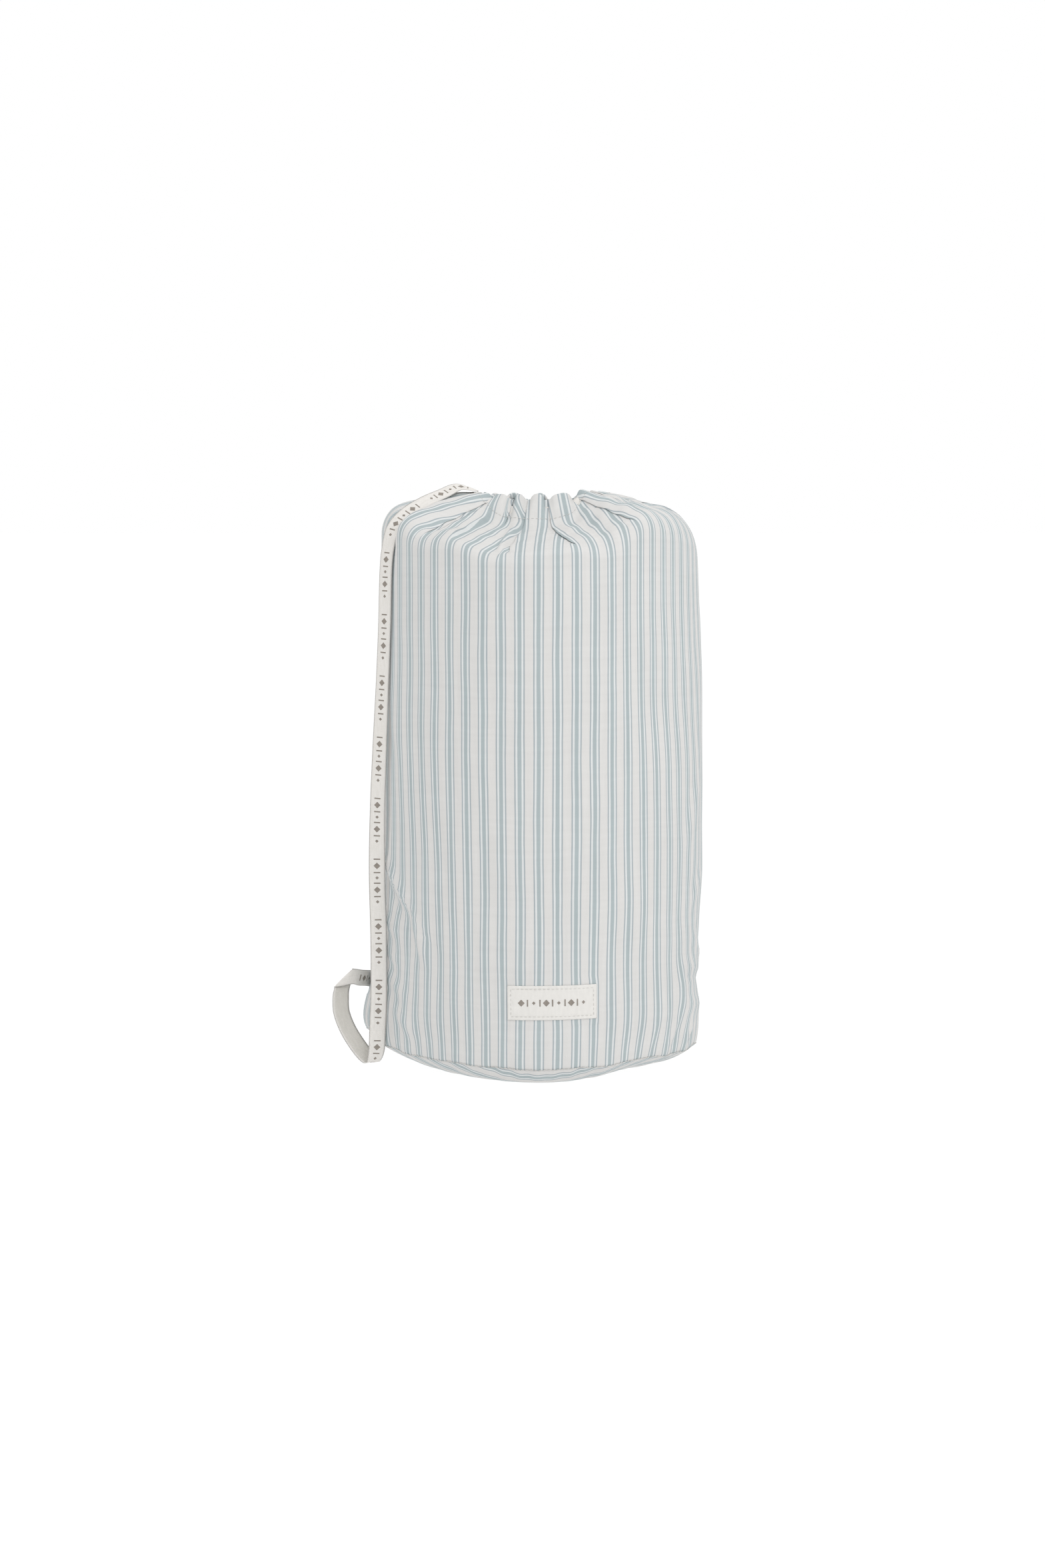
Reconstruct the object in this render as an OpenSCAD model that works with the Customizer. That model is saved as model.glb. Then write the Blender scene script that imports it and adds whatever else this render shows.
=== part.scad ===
// Drawstring laundry bag: a round, filled fabric bag with its mouth pulled in by a flat tape.
// Units are millimetres, +Z is up, the front faces -Y, and the origin is the middle of the base.

/* [Bag] */
// Outside radius of the filled bag
bag_r = 125; // [110:1:150]
// Height of the cinched rim above the floor
bag_h = 445; // [400:5:520]
// Thickness of one layer of cloth, drawn thicker than the real cloth
cloth_t = 1.6; // [1.2:0.1:2.5]

/* [Base] */
// Radius of the part of the base that lies flat on the floor
flat_r = 106; // [95:1:108]
// Height of the seam that joins the base to the side
seam_z = 11; // [8:1:16]
// Width of the raw edges turned into the bag at the base seam
allowance_w = 10; // [6:1:12]

/* [Neck] */
// Radius of the open mouth at the rim
mouth_r = 46; // [40:1:50]
// Radius where the gathered neck meets the shoulder
neck_r = 64; // [60:1:70]
// Gap between the neck and the shoulder cloth, which move apart
neck_gap = 2; // [1:0.5:3]
// Room between the two layers of the casing
casing_room = 3.6; // [3:0.2:5]

/* [Tape] */
// Width of the flat drawstring tape
tape_w = 13; // [10:0.5:16]
// Thickness of the flat drawstring tape
tape_t = 1.2; // [0.8:0.1:1.6]
// Distance from the middle of the mouth to the two tape exits
exit_x = 50; // [48:1:54]
// Distance of each tape exit from the middle plane
exit_y = 9; // [8:0.5:11]
// Height of the two tape exits
exit_z = 447; // [446:0.5:450]

/* [Label] */
// Width of the sewn label
label_w = 67; // [50:1:80]
// Height of the sewn label
label_h = 26; // [18:1:32]
// Height of the middle of the label above the floor
label_z = 64; // [50:1:120]
// Turn of the label from the front of the bag, in degrees
label_turn = 3.6; // [0:0.2:10]
// Tilt of the label in its own plane, in degrees, up to the right when negative
label_tilt = -0.5; // [-4:0.5:4]

/* [Hidden] */

cloth_colour = [0.88, 0.88, 0.86];
stripe_colour = [0.70, 0.75, 0.76];
tape_colour = [0.89, 0.87, 0.85];
label_colour = [0.91, 0.90, 0.88];
thread_colour = [0.84, 0.84, 0.82];

fine = 120;
thread_r = 0.4;
label_t = 0.8;
label_stitch_inset = 2.6;
binding_t = 0.8;
binding_w = 7;
overlock_r = 1;
hem_drop = casing_room + 2 * cloth_t;

shoulder_z = bag_h - 60;
shoulder_rise = 53;
shoulder_end_r = neck_r + neck_gap;

// Outline of the shoulder cloth from the straight side up to the neck: a quarter of an ellipse.
shoulder_steps = 9;
function shoulder_curve(start_r, rise) = [
    for (i = [0 : shoulder_steps])
        let (a = 90 * i / shoulder_steps)
            [shoulder_end_r + (start_r - shoulder_end_r) * cos(a), shoulder_z + rise * sin(a)]
];

// Quarter curve of the base between the flat part and the seam.
base_steps = 6;
base_curve = [
    for (i = [0 : base_steps])
        let (a = 90 * i / base_steps)
            [flat_r + (bag_r - flat_r) * sin(a), seam_z * (1 - cos(a))]
];
base_curve_inner = [
    for (i = [0 : base_steps])
        let (a = 90 * i / base_steps)
            [flat_r + (bag_r - cloth_t - flat_r) * sin(a), cloth_t + (seam_z - cloth_t) * (1 - cos(a))]
];

// Route of the free tape: along the middle of its width, from the front exit over the left
// shoulder, down to the floor, up into a folded loop, round behind the bag and back to the rear
// exit. Each point is followed by the direction across the tape.
TAPE_ROUTE = [
    [[-exit_x, -exit_y, exit_z], [0.2, -0.97, -0.1]],
    [[-57, -9, 449], [0.3, -0.9, -0.25]],
    [[-66, -10, 450], [0.4, -0.8, -0.4]],
    [[-78, -16, 447], [0.45, -0.72, -0.5]],
    [[-93, -26, 441], [0.45, -0.65, -0.6]],
    [[-107, -36, 431], [0.5, -0.6, -0.6]],
    [[-115, -43, 419], [0.65, -0.6, -0.45]],
    [[-119, -46, 404], [0.75, -0.62, -0.2]],
    [[-121, -47, 384], [0.77, -0.64, 0]],
    [[-122, -47, 344], [0.78, -0.62, 0]],
    [[-123.5, -46, 300], [0.8, -0.6, 0]],
    [[-125.5, -46, 250], [0.88, -0.48, 0]],
    [[-127.5, -45, 200], [0.93, -0.37, 0]],
    [[-128, -45, 150], [1, -0.1, 0]],
    [[-127, -45, 100], [1, -0.05, 0]],
    [[-127, -45, 60], [1, 0, 0]],
    [[-128, -45, 32], [1, 0.1, 0]],
    [[-129, -44, 13], [0.95, 0.25, 0]],
    [[-132, -41, 3], [0.9, 0.35, 0.1]],
    [[-137, -37, 6], [0.85, 0.35, 0.35]],
    [[-144, -31, 14], [0.75, 0.25, 0.6]],
    [[-151, -23, 25], [0.85, 0.2, 0.45]],
    [[-156, -15, 37], [0.95, 0.15, 0.2]],
    [[-158, -8, 49], [1, 0, 0]],
    [[-157, -5, 58], [0.98, 0.1, 0.1]],
    [[-154, -7, 64], [0.6, 0.64, 0.5]],
    [[-148, -7, 65], [0.18, 0.1, 0.98]],
    [[-142, -1, 62], [0.2, 0.1, 0.98]],
    [[-137, 9, 59], [0.1, 0.1, 0.98]],
    [[-134, 21, 57], [-0.3, 0.1, 0.95]],
    [[-132, 33, 56], [-0.8, -0.2, 0.6]],
    [[-131, 44, 59], [-0.95, -0.2, 0.1]],
    [[-130, 51, 71], [-0.95, -0.25, 0]],
    [[-128, 55, 95], [-0.9, -0.4, 0]],
    [[-126, 57, 135], [-0.75, -0.65, 0]],
    [[-124, 58, 185], [-0.55, -0.85, 0]],
    [[-123, 58, 235], [-0.42, -0.9, 0]],
    [[-123, 58, 285], [-0.42, -0.9, 0]],
    [[-122, 58, 335], [-0.42, -0.9, 0]],
    [[-120, 57, 375], [-0.42, -0.9, 0]],
    [[-117, 55, 403], [-0.42, -0.9, 0]],
    [[-110, 51, 422], [-0.44, -0.9, 0]],
    [[-97, 43, 437], [-0.5, -0.86, 0]],
    [[-80, 30, 445], [-0.55, -0.84, 0]],
    [[-66, 17, 449], [-0.45, -0.9, 0]],
    [[-57, 10, 449], [-0.25, -0.97, 0]],
    [[-exit_x, exit_y, exit_z], [-0.1, -0.99, 0]]
];
join_z = 260;
join_l = 30;
join_x = -123;
join_y = 58;
join_turn = 65;
steps_per_span = 1;

function spline(a, b, c, d, t) =
    0.5 * (2 * b + (c - a) * t + (2 * a - 5 * b + 4 * c - d) * t * t
        + (3 * b - a - 3 * c + d) * t * t * t);

function route_at(points, column, u) =
    let (
        last = len(points) - 1,
        i = min(floor(u), last - 1),
        before = points[max(i - 1, 0)][column],
        after = points[min(i + 2, last)][column]
    )
    spline(before, points[i][column], points[i + 1][column], after, u - i);

function unit(v) = v / norm(v);

// One flattened eight-sided ring of the tape, square to the route.
function tape_ring(points, u) =
    let (
        last = len(points) - 1,
        p = route_at(points, 0, u),
        ahead = route_at(points, 0, min(u + 0.1, last)),
        behind = route_at(points, 0, max(u - 0.1, 0)),
        along = unit(ahead - behind),
        rough = route_at(points, 1, u),
        across = unit(rough - along * (rough * along)),
        face = cross(along, across),
        w = tape_w / 2,
        t = tape_t / 2
    )
    [
        for (c = [[w, -t / 2], [w, t / 2], [w - t, t], [t - w, t], [-w, t / 2], [-w, -t / 2], [t - w, -t], [w - t, -t]])
            p + across * c[0] + face * c[1]
    ];

module swept_tape(points) {
    spans = len(points) - 1;
    rings = spans * steps_per_span;
    vertices = [
        for (i = [0 : rings])
            each tape_ring(points, i / steps_per_span)
    ];
    sides = 8;
    walls = [
        for (i = [0 : rings - 1])
            for (k = [0 : sides - 1])
                let (
                    a = i * sides + k,
                    b = i * sides + (k + 1) % sides
                )
                each [[a, b, b + sides], [a, b + sides, a + sides]]
    ];
    first_cap = [for (k = [0 : sides - 1]) sides - 1 - k];
    last_cap = [for (k = [0 : sides - 1]) rings * sides + k];
    polyhedron(points = vertices, faces = concat(walls, [first_cap, last_cap]), convexity = 10);
}

// Ring of cloth or thread between two radii and two heights.
module flat_ring(inner_r, outer_r, low, high) {
    translate([0, 0, low])
        difference() {
            cylinder(r = outer_r, h = high - low, $fn = fine);
            translate([0, 0, -1])
                cylinder(r = inner_r, h = high - low + 2, $fn = fine);
        }
}

// Round thread laid in a circle.
module thread_ring(r, z) {
    rotate_extrude($fn = fine)
        translate([r, z])
            circle(r = thread_r, $fn = 16);
}

// Places something made facing -Y on the label's spot.
module at_label() {
    rotate([0, 0, label_turn])
        translate([0, 0, label_z])
            rotate([0, label_tilt, 0])
                children();
}

// Upright block in front of the bag, used to cut the label out of a thin sleeve.
module label_block(w, h) {
    translate([-w / 2, -bag_r - 20, -h / 2])
        cube([w, bag_r + 20, h]);
}

module sleeve(inner_r, outer_r) {
    flat_ring(inner_r, outer_r, label_z - label_h, label_z + label_h);
}

module body_panel() {
    color(cloth_colour)
        flat_ring(bag_r - cloth_t, bag_r, seam_z, shoulder_z);
}

// Top of the same cloth, drawn in over the contents towards the neck.
module shoulder_gathers() {
    outer = shoulder_curve(bag_r, shoulder_rise);
    inner = shoulder_curve(bag_r - cloth_t, shoulder_rise - cloth_t);
    color(cloth_colour)
        rotate_extrude($fn = fine)
            polygon(concat(outer, [for (i = [shoulder_steps : -1 : 0]) inner[i]]));
}

module side_seam_allowance() {
    color(cloth_colour)
        translate([-bag_r + cloth_t, -cloth_t / 2, seam_z + 4])
            cube([allowance_w, cloth_t, shoulder_z - seam_z - 4]);
}

module side_seam_overlock() {
    color(thread_colour)
        translate([-bag_r + cloth_t + allowance_w + overlock_r, 0, seam_z + 4])
            cylinder(r = overlock_r, h = shoulder_z - seam_z - 4, $fn = 24);
}

module side_seam_stitching() {
    color(thread_colour)
        translate([-bag_r + cloth_t + thread_r + 1, cloth_t / 2 + thread_r, seam_z + 4])
            cylinder(r = thread_r, h = shoulder_z - seam_z - 4, $fn = 24);
}

module base_panel() {
    color(stripe_colour)
        rotate_extrude($fn = fine)
            polygon(concat(
                [[0, cloth_t], [0, 0]],
                base_curve,
                [for (i = [base_steps : -1 : 0]) base_curve_inner[i]]
            ));
}

module base_seam_allowance() {
    color(cloth_colour)
        flat_ring(bag_r - cloth_t - allowance_w, bag_r - cloth_t, seam_z, seam_z + cloth_t);
}

module base_seam_binding() {
    inner = bag_r - cloth_t - allowance_w - binding_t;
    outer = inner + binding_w;
    color(tape_colour)
        difference() {
            flat_ring(inner, outer, seam_z - binding_t, seam_z + cloth_t + binding_t);
            flat_ring(inner + binding_t, outer + 1, seam_z, seam_z + cloth_t);
        }
}

module base_seam_stitching() {
    color(thread_colour)
        thread_ring(bag_r + thread_r, seam_z + 3);
}

module label_patch() {
    color(label_colour)
        intersection() {
            sleeve(bag_r, bag_r + label_t);
            at_label()
                label_block(label_w, label_h);
        }
}

module label_stitching() {
    outer_w = label_w - 2 * label_stitch_inset;
    outer_h = label_h - 2 * label_stitch_inset;
    color(thread_colour)
        intersection() {
            sleeve(bag_r + label_t, bag_r + label_t + 0.3);
            at_label()
                difference() {
                    label_block(outer_w, outer_h);
                    translate([0, -5, 0])
                        scale([(outer_w - 2 * thread_r) / outer_w, 1.1, (outer_h - 2 * thread_r) / outer_h])
                            label_block(outer_w, outer_h);
                }
        }
}

// Outer layer of the casing: a gathered ring that slopes gently up to the rim.
module gathered_neck() {
    slot_w = tape_w + 1;
    slot_t = tape_t + 1.2;
    color(cloth_colour)
        difference() {
            rotate_extrude($fn = fine)
                polygon([
                    [neck_r, bag_h - 8], [neck_r, bag_h - 6.4], [mouth_r + 8, bag_h - 0.4],
                    [mouth_r, bag_h], [mouth_r, bag_h - cloth_t], [mouth_r + 8, bag_h - 2]
                ]);
            for (side = [-1, 1])
                translate([-exit_x - slot_t / 2, side * exit_y - slot_w / 2, bag_h - 10])
                    cube([slot_t, slot_w, 20]);
        }
}

// Inner layer of the casing, folded in from the rim and sewn down at the neck.
module casing_hem() {
    color(cloth_colour)
        rotate_extrude($fn = fine)
            polygon([
                [mouth_r, bag_h - cloth_t], [mouth_r, bag_h - hem_drop - 2],
                [neck_r, bag_h - hem_drop - 8], [neck_r, bag_h - hem_drop - 8 + cloth_t],
                [mouth_r + cloth_t, bag_h - hem_drop - 2 + cloth_t],
                [mouth_r + cloth_t, bag_h - cloth_t - 0.1]
            ]);
}

module casing_stitching() {
    color(thread_colour)
        flat_ring(neck_r - 2, neck_r - 1, bag_h - hem_drop - 7 + cloth_t, bag_h - 7.8);
}

module exit_buttonholes() {
    rim_w = 1.6;
    slot_w = tape_w + 1;
    slot_t = tape_t + 1.2;
    color(thread_colour)
        for (side = [-1, 1])
            translate([-exit_x, side * exit_y, bag_h])
                difference() {
                    translate([-slot_t / 2 - rim_w, -slot_w / 2 - rim_w / 2, 0])
                        cube([slot_t + 2 * rim_w, slot_w + rim_w, 0.8]);
                    translate([-slot_t / 2, -slot_w / 2, -1])
                        cube([slot_t, slot_w, 4]);
                }
}

// The stretch of tape that runs round inside the casing, with its two ends rising to the exits.
module tape_in_casing() {
    inner_r = mouth_r + 2.5;
    slope = 0.43;
    high = bag_h - 4.4;
    run = tape_w / sqrt(1 + slope * slope);
    stub_low = high - slope * (exit_x + 1 - inner_r) - tape_t / 2;
    color(tape_colour) {
        rotate_extrude($fn = fine)
            polygon([
                [inner_r, high], [inner_r, high - tape_t],
                [inner_r + run, high - tape_t - slope * run], [inner_r + run, high - slope * run]
            ]);
        for (side = [-1, 1])
            translate([-exit_x - tape_t / 2, side * exit_y - tape_w / 2, stub_low])
                cube([tape_t, tape_w, exit_z - 1 - stub_low]);
    }
}

module tape_loop() {
    color(tape_colour)
        swept_tape(TAPE_ROUTE);
}

// Overlapped ends of the tape, sewn together on the stretch behind the bag.
module tape_join() {
    color(tape_colour)
        translate([join_x, join_y, join_z - join_l / 2])
            rotate([0, 0, join_turn])
                translate([-tape_w / 2, tape_t / 2 + 0.2, 0])
                    cube([tape_w, tape_t, join_l]);
}

body_panel();
shoulder_gathers();
side_seam_allowance();
side_seam_overlock();
side_seam_stitching();
base_panel();
base_seam_allowance();
base_seam_binding();
base_seam_stitching();
label_patch();
label_stitching();
gathered_neck();
casing_hem();
casing_stitching();
exit_buttonholes();
tape_in_casing();
tape_loop();
tape_join();
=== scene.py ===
"""Looks of the striped laundry bag: gathered cloth, tape, label, seams and stitches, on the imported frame."""

import math

import bpy
import numpy as np
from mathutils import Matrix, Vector
from mathutils.kdtree import KDTree


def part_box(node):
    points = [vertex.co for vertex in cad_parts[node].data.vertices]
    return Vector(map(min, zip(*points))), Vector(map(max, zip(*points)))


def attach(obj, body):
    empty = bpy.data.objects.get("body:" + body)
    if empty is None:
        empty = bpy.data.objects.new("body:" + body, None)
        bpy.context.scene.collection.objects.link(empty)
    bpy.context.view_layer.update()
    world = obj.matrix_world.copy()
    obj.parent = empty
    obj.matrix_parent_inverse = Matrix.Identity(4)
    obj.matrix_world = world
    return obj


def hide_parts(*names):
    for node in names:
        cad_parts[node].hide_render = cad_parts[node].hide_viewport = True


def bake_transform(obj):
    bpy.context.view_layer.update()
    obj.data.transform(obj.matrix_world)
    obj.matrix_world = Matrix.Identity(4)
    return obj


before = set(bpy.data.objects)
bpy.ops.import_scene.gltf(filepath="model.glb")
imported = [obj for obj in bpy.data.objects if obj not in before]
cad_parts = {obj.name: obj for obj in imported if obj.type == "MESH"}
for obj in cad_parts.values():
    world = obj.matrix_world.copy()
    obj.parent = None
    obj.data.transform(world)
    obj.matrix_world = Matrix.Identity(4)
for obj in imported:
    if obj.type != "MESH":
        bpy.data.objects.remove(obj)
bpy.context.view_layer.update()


# ---------------------------------------------------------------- sizes, in metres

panel_low, panel_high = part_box("body_panel")
BAG_R = (panel_high.x - panel_low.x) / 2
MOUTH_R = 0.0465
COLLAR_R = 0.060
SHOULDER_Z = 0.36
CLOTH_T = 0.0004
CASING_DEPTH = 0.0036
PITCH_COUNT = 55
GIRTH = 2 * math.pi * BAG_R
PITCH = GIRTH / PITCH_COUNT
STRIPE_START = 0.003

label_low, label_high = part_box("label_patch")
LABEL_Z = (label_low.z + label_high.z) / 2
LABEL_TURN = math.degrees(math.atan2((label_low.x + label_high.x) / 2, BAG_R))
LABEL_W, LABEL_H, LABEL_T = 0.0682, 0.0262, 0.0009
LABEL_TILT = math.radians(-0.5)
LABEL_INSET = 0.0026

TAPE_W, TAPE_T = 0.013, 0.0006
TAPE_CROWN = 0.00025
THREAD_R, FINE_THREAD_R, OVERLOCK_THREAD_R, BUTTONHOLE_THREAD_R = 0.00022, 0.00020, 0.00028, 0.00042
EXIT_X, EXIT_Y, EXIT_Z = -0.050, 0.009, 0.447
JOIN_Z = 0.260


# ---------------------------------------------------------------- small numeric helpers


def smoothstep(x, low=0.0, high=1.0):
    t = np.clip((np.asarray(x, float) - low) / (high - low), 0, 1)
    return t * t * (3 - 2 * t)


def around(keys, deg, soft=5.0):
    """Smooth closed curve through (angle, value) keys, read at the angles deg."""
    keys = sorted(keys)
    grid = np.arange(-180, 180)
    value = np.interp(grid, [k[0] for k in keys], [k[1] for k in keys], period=360)
    offset = np.arange(-30, 31)
    weight = np.exp(-((offset / soft) ** 2) / 2)
    weight /= weight.sum()
    value = sum(w * np.roll(value, int(o)) for o, w in zip(offset, weight))
    return np.interp(deg, grid, value, period=360)


def along(keys, at, soft=0.005):
    """Smooth open curve through (place, value) keys, in metres, read at the places at."""
    keys = sorted(keys)
    grid = np.arange(-0.06, 0.56, 0.001)
    value = np.interp(grid, [k[0] for k in keys], [k[1] for k in keys])
    offset = np.arange(-0.015, 0.0151, 0.001)
    weight = np.exp(-((offset / soft) ** 2) / 2)
    weight /= weight.sum()
    value = np.convolve(np.pad(value, 15, mode="edge"), weight, mode="valid")
    return np.interp(at, grid, value)


def hump(deg, centre, width):
    gap = (np.asarray(deg) - centre + 180) % 360 - 180
    return np.exp(-((gap / width) ** 2))


def waves(deg, z, seed, low, high, tall, count=7):
    """Soft random relief, about -1 to 1: low to high whole waves per turn, about tall metres high."""
    rng = np.random.default_rng(seed)
    total = 0
    for _ in range(count):
        turns = rng.integers(low, high + 1)
        rise = rng.normal(0, 1) * 2 * math.pi / tall
        total = total + np.sin(np.radians(deg) * turns + z * rise + rng.uniform(0, 2 * math.pi))
    return total / math.sqrt(count) / 1.4


def unit(v):
    return v / np.linalg.norm(v, axis=-1, keepdims=True)


def turned(deg, r, z):
    """Points at height z and radius r, at the angle deg round the bag from its front towards the right."""
    a = np.radians(deg)
    return np.stack([r * np.sin(a), -r * np.cos(a), z], -1)


def length_so_far(line):
    return np.concatenate([[0], np.cumsum(np.linalg.norm(np.diff(line, axis=0), axis=1))])


def read_rows(at, run, rows):
    """Rows of three values, read at the lengths at, where run holds the length at each row."""
    return np.stack([np.interp(at, run, rows[:, i]) for i in range(3)], -1)


# ---------------------------------------------------------------- the standing cloth

# Outline of the filled bag: (height, radius) up its right and left side, (angle, height) of its base seam.
RIGHT_KEYS = (
    (0.402, 0.1206), (0.380, 0.1222), (0.340, 0.1246), (0.310, 0.1260), (0.250, 0.1267), (0.150, 0.1266),
    (0.110, 0.1256), (0.100, 0.1250), (0.087, 0.1243), (0.073, 0.1234), (0.063, 0.1224), (0.050, 0.1248),
    (0.030, 0.1254), (0.020, 0.1247), (0.013, 0.1232),
)
LEFT_KEYS = (
    (0.424, 0.1240), (0.390, 0.1258), (0.300, 0.1275), (0.150, 0.1300), (0.100, 0.1320), (0.070, 0.1348),
    (0.050, 0.1390), (0.034, 0.1432), (0.026, 0.1438), (0.018, 0.1410), (0.010, 0.1340),
)
SEAM_KEYS = (
    (-90, 0.021), (-78, 0.0145), (-51, 0.014), (-29, 0.0135), (-4, 0.012), (16, 0.013), (28, 0.014),
    (34, 0.015), (43, 0.0166), (50, 0.0140), (62, 0.0138), (72, 0.0134), (90, 0.0134), (130, 0.012),
    (180, 0.012), (-130, 0.013),
)

# Soft creases of the filled cloth: angle and height of each end, half width, height of the ridge.
SOFT_CREASES = (
    (-76, 0.166, -52, 0.124, 0.0058, 0.0032),
    (-53, 0.128, -45, 0.086, 0.0056, 0.0026),
    (-78, 0.118, -62, 0.106, 0.0052, 0.0015),
    (-78, 0.094, -60, 0.084, 0.0052, 0.0015),
    (-76, 0.072, -58, 0.060, 0.0052, 0.0014),
    (-66, 0.046, -50, 0.030, 0.0050, 0.0013),
    (-72, 0.310, -60, 0.240, 0.0080, 0.0009),
    (96, 0.060, 58, 0.076, 0.0046, -0.0013),
    (92, 0.078, 66, 0.106, 0.0052, 0.0010),
    (88, 0.044, 62, 0.050, 0.0055, 0.0012),
    (62, 0.018, 72, 0.040, 0.0030, 0.0013),
    (50, 0.018, 58, 0.044, 0.0030, 0.0013),
    (40, 0.018, 45, 0.046, 0.0032, 0.0010),
    (84, 0.150, 66, 0.128, 0.0060, 0.0010),
    (-38, 0.120, -30, 0.040, 0.0080, 0.0008),
    (76, 0.230, 62, 0.170, 0.0080, 0.0009),
    (24, 0.110, 30, 0.030, 0.0090, 0.0007),
    (-14, 0.200, -10, 0.090, 0.0100, 0.0005),
    (128, 0.260, 150, 0.190, 0.0080, 0.0012),
    (150, 0.120, 122, 0.080, 0.0070, 0.0013),
    (-150, 0.300, -128, 0.240, 0.0080, 0.0012),
    (-128, 0.130, -152, 0.095, 0.0070, 0.0013),
    (172, 0.090, 196, 0.060, 0.0060, 0.0011),
)


def seam_height(deg):
    return around(SEAM_KEYS, deg, 3.0) + 0.0008 * waves(deg, 0, 17, 12, 26, 1.0)


def label_cover(deg, z):
    """1 behind the sewn label, where the cloth is held flat, and 0 away from it."""
    across = np.abs(np.radians(deg - LABEL_TURN)) * BAG_R
    up = np.abs(z - LABEL_Z)
    return smoothstep(-across, -(LABEL_W / 2 + 0.008), -LABEL_W / 2) * smoothstep(
        -up, -(LABEL_H / 2 + 0.006), -LABEL_H / 2
    )


def crease_relief(deg, z):
    total = np.zeros(np.broadcast(deg, z).shape)
    for deg_a, z_a, deg_b, z_b, half, height in SOFT_CREASES:
        middle = (deg_a + deg_b) / 2
        x = np.radians((deg - middle + 180) % 360 - 180) * BAG_R
        x_a, x_b = (math.radians(d - middle) * BAG_R for d in (deg_a, deg_b))
        run = math.hypot(x_b - x_a, z_b - z_a)
        ex, ez = (x_b - x_a) / run, (z_b - z_a) / run
        s = (x - x_a) * ex + (z - z_a) * ez
        d = (x - x_a) * ez - (z - z_a) * ex
        fade = smoothstep(s, -half, run * 0.35) * smoothstep(-s, -run - half, -run * 0.65)
        ridge = np.exp(-((d / half) ** 2)) - 0.55 * np.exp(-(((d - 1.7 * half) / half) ** 2))
        total = total + height * fade * ridge
    return total


def wall_radius(deg, z):
    """Radius of the outer face of the standing cloth."""
    deg, z = np.broadcast_arrays(np.asarray(deg, float), np.asarray(z, float))
    above = z - seam_height(deg)
    r = BAG_R + hump(deg, 88, 40) * (along(RIGHT_KEYS, z) - BAG_R)
    r = r + hump(deg, -99, 20) * (along(LEFT_KEYS, z) - BAG_R)
    # Broad and fine unevenness and the creases, all stronger low down and nearly flat behind the label.
    free = 1 - 0.85 * label_cover(deg, z)
    low = smoothstep(-z, -0.20, -0.05)
    r = r + free * (0.0005 + 0.0006 * low) * waves(deg, z, 5, 2, 7, 0.11)
    r = r + free * (0.00035 + 0.00035 * low) * waves(deg, z, 8, 14, 30, 0.25, 9)
    r = r + free * crease_relief(deg, z)
    # Puckers above the base seam, and the line where its stitches pull the cloth in.
    pucker = np.exp(-np.clip(above, 0, 1) / 0.012) * np.exp(-(((above - 0.003) / 0.03) ** 2))
    r = r + 0.0007 * pucker * waves(deg, z * 0, 11, 34, 62, 1.0, 9)
    return r - 0.0009 * np.exp(-np.clip(above, 0, 1) / 0.0016)


def cloth_drift(deg, z):
    """How far the stripes have slid round the bag, in metres; positive moves them to the left."""
    # Left side: a wide lean over the lower half, and a stronger one just above the floor.
    left = -0.0050 * smoothstep(-z, -0.27, -0.08) * hump(deg, -50, 30)
    left = left - 0.0060 * smoothstep(-z, -0.048, -0.014) * hump(deg, -58, 16)
    # Left side: cloth tucked under the first long crease, and the stripes' swing below it.
    x, x_a, x_b = (np.radians(d) * BAG_R for d in (deg, -76.0, -50.0))
    run = math.hypot(x_b - x_a, 0.045)
    below = ((x - x_a) * -0.045 - (z - 0.166) * (x_b - x_a)) / run
    tucked = smoothstep(below, -0.001, 0.004) * smoothstep(-np.abs(z - 0.11), -0.07, -0.04)
    left = left - 0.0060 * tucked * hump(deg, -66, 17)
    swing = np.sin(2 * math.pi * z / 0.052 + 0.9) * smoothstep(-np.abs(z - 0.095), -0.06, -0.03)
    left = left + 0.0024 * swing * hump(deg, -68, 12)
    # Right side: a lean near the floor, a slide along the two low creases, and the turn towards the gathers.
    right = 0.0052 * smoothstep(-z, -0.056, -0.013) ** 1.5 * hump(deg, 50, 26)
    right = right - 0.0150 * smoothstep(-z, -0.096, -0.064) * smoothstep(z, 0.028, 0.062) * hump(deg, 72, 15)
    right = right + 0.0020 * np.exp(-(((z - 0.118) / 0.014) ** 2)) * hump(deg, 64, 15)
    right = right + 0.0140 * smoothstep(z, 0.17, 0.34) * smoothstep(deg, 18, 75) * smoothstep(-deg, -172, -85)
    return left + right


# ---------------------------------------------------------------- the gathered shoulder and neck

# Section of the cloth above the wall, by angle: heights of the shoulder's corner, the collar's corner and the
# rim, how long the shoulder's corner is rounded, and its radius.
SHOULDER_HEIGHT = (
    (-90, 0.434), (-68, 0.430), (-58, 0.422), (-50, 0.411), (-44, 0.410), (-38, 0.412), (-30, 0.408),
    (-21, 0.400), (-13, 0.398), (0, 0.403), (10, 0.408), (22, 0.404), (30, 0.411), (36, 0.428), (50, 0.430),
    (65, 0.430), (90, 0.428), (120, 0.422), (150, 0.408), (180, 0.402), (-150, 0.406), (-120, 0.420),
)
COLLAR_HEIGHT = (
    (-100, 0.4435), (-90, 0.4445), (-68, 0.4440), (-55, 0.437), (-40, 0.424), (-25, 0.420), (0, 0.419),
    (20, 0.421), (27, 0.424), (32, 0.438), (37, 0.4435), (60, 0.4425), (90, 0.442), (140, 0.430),
    (180, 0.421), (-140, 0.430),
)
RIM_HEIGHT = (
    (-90, 0.4436), (-40, 0.443), (0, 0.443), (28, 0.4432), (44, 0.4468), (60, 0.4462), (85, 0.444),
    (180, 0.443),
)
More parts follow.
